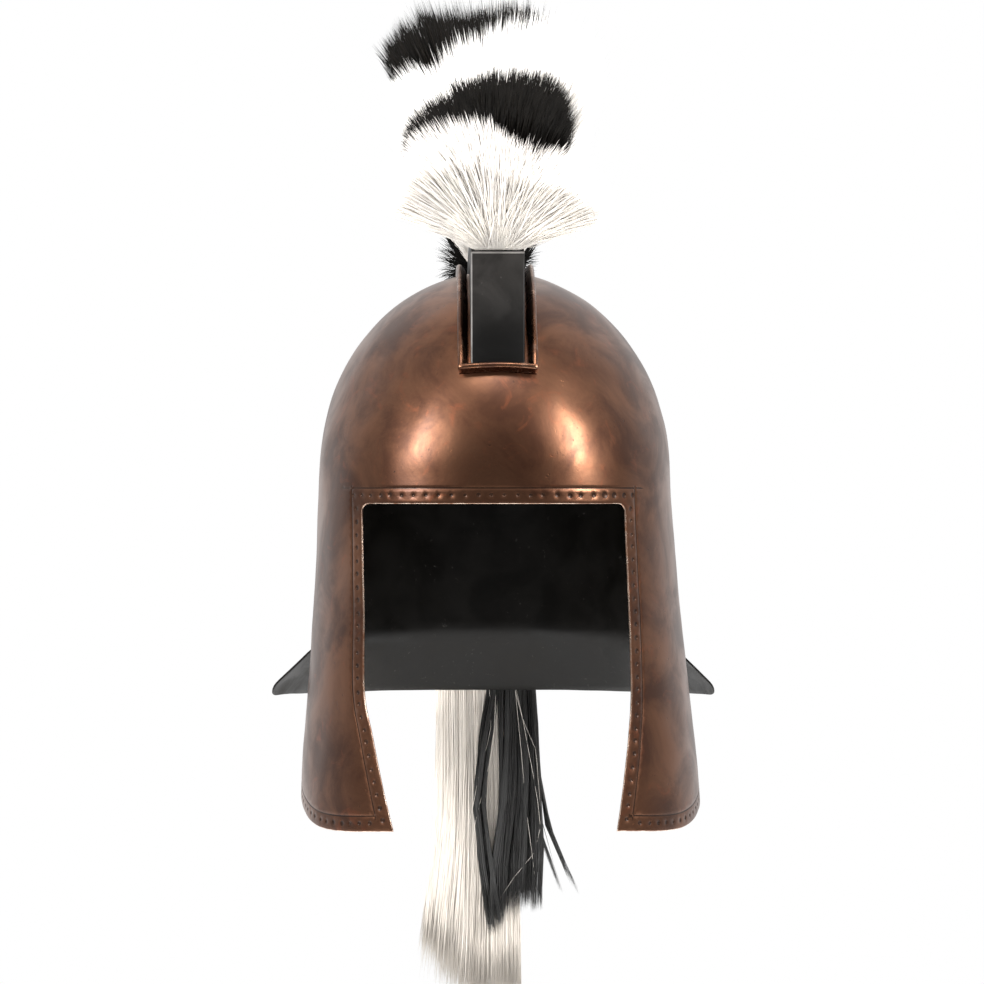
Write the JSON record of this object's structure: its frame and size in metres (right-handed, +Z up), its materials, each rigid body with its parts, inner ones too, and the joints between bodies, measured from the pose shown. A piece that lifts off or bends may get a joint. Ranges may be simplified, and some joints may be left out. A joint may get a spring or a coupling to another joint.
{
  "type": "greek helmet",
  "caption": "Open-faced Greek helmet of antiqued sheet metal with cheek guards, flared neck guard, banded black and white hair crest and a hanging hair tail.",
  "frame": {"origin": "inside of the crown, where the wearer's head touches", "axes": "+Z up, the face looks along -Y, the wearer's left is +X"},
  "size_m": [0.2673, 0.3275, 0.6077],
  "materials": {
    "antiqued_copper": "antiqued, softly polished",
    "blackened_copper": "antiqued, worn bright on its edges",
    "black_paint": "black satin paint",
    "white_hair": "bleached horsehair",
    "black_hair": "dyed horsehair"
  },
  "bodies": {
    "root": {"helmet_shell": "antiqued_copper", "crest_frame": "blackened_copper", "crest_box": "black_paint", "crest_hair_white_front": "white_hair", "crest_hair_black_front": "black_hair", "crest_hair_white_top": "white_hair", "crest_hair_black_top": "black_hair", "crest_hair_white_rear": "white_hair", "crest_hair_black_rear": "black_hair", "tail_white": "white_hair", "tail_black": "black_hair"}
  },
  "joints": []
}
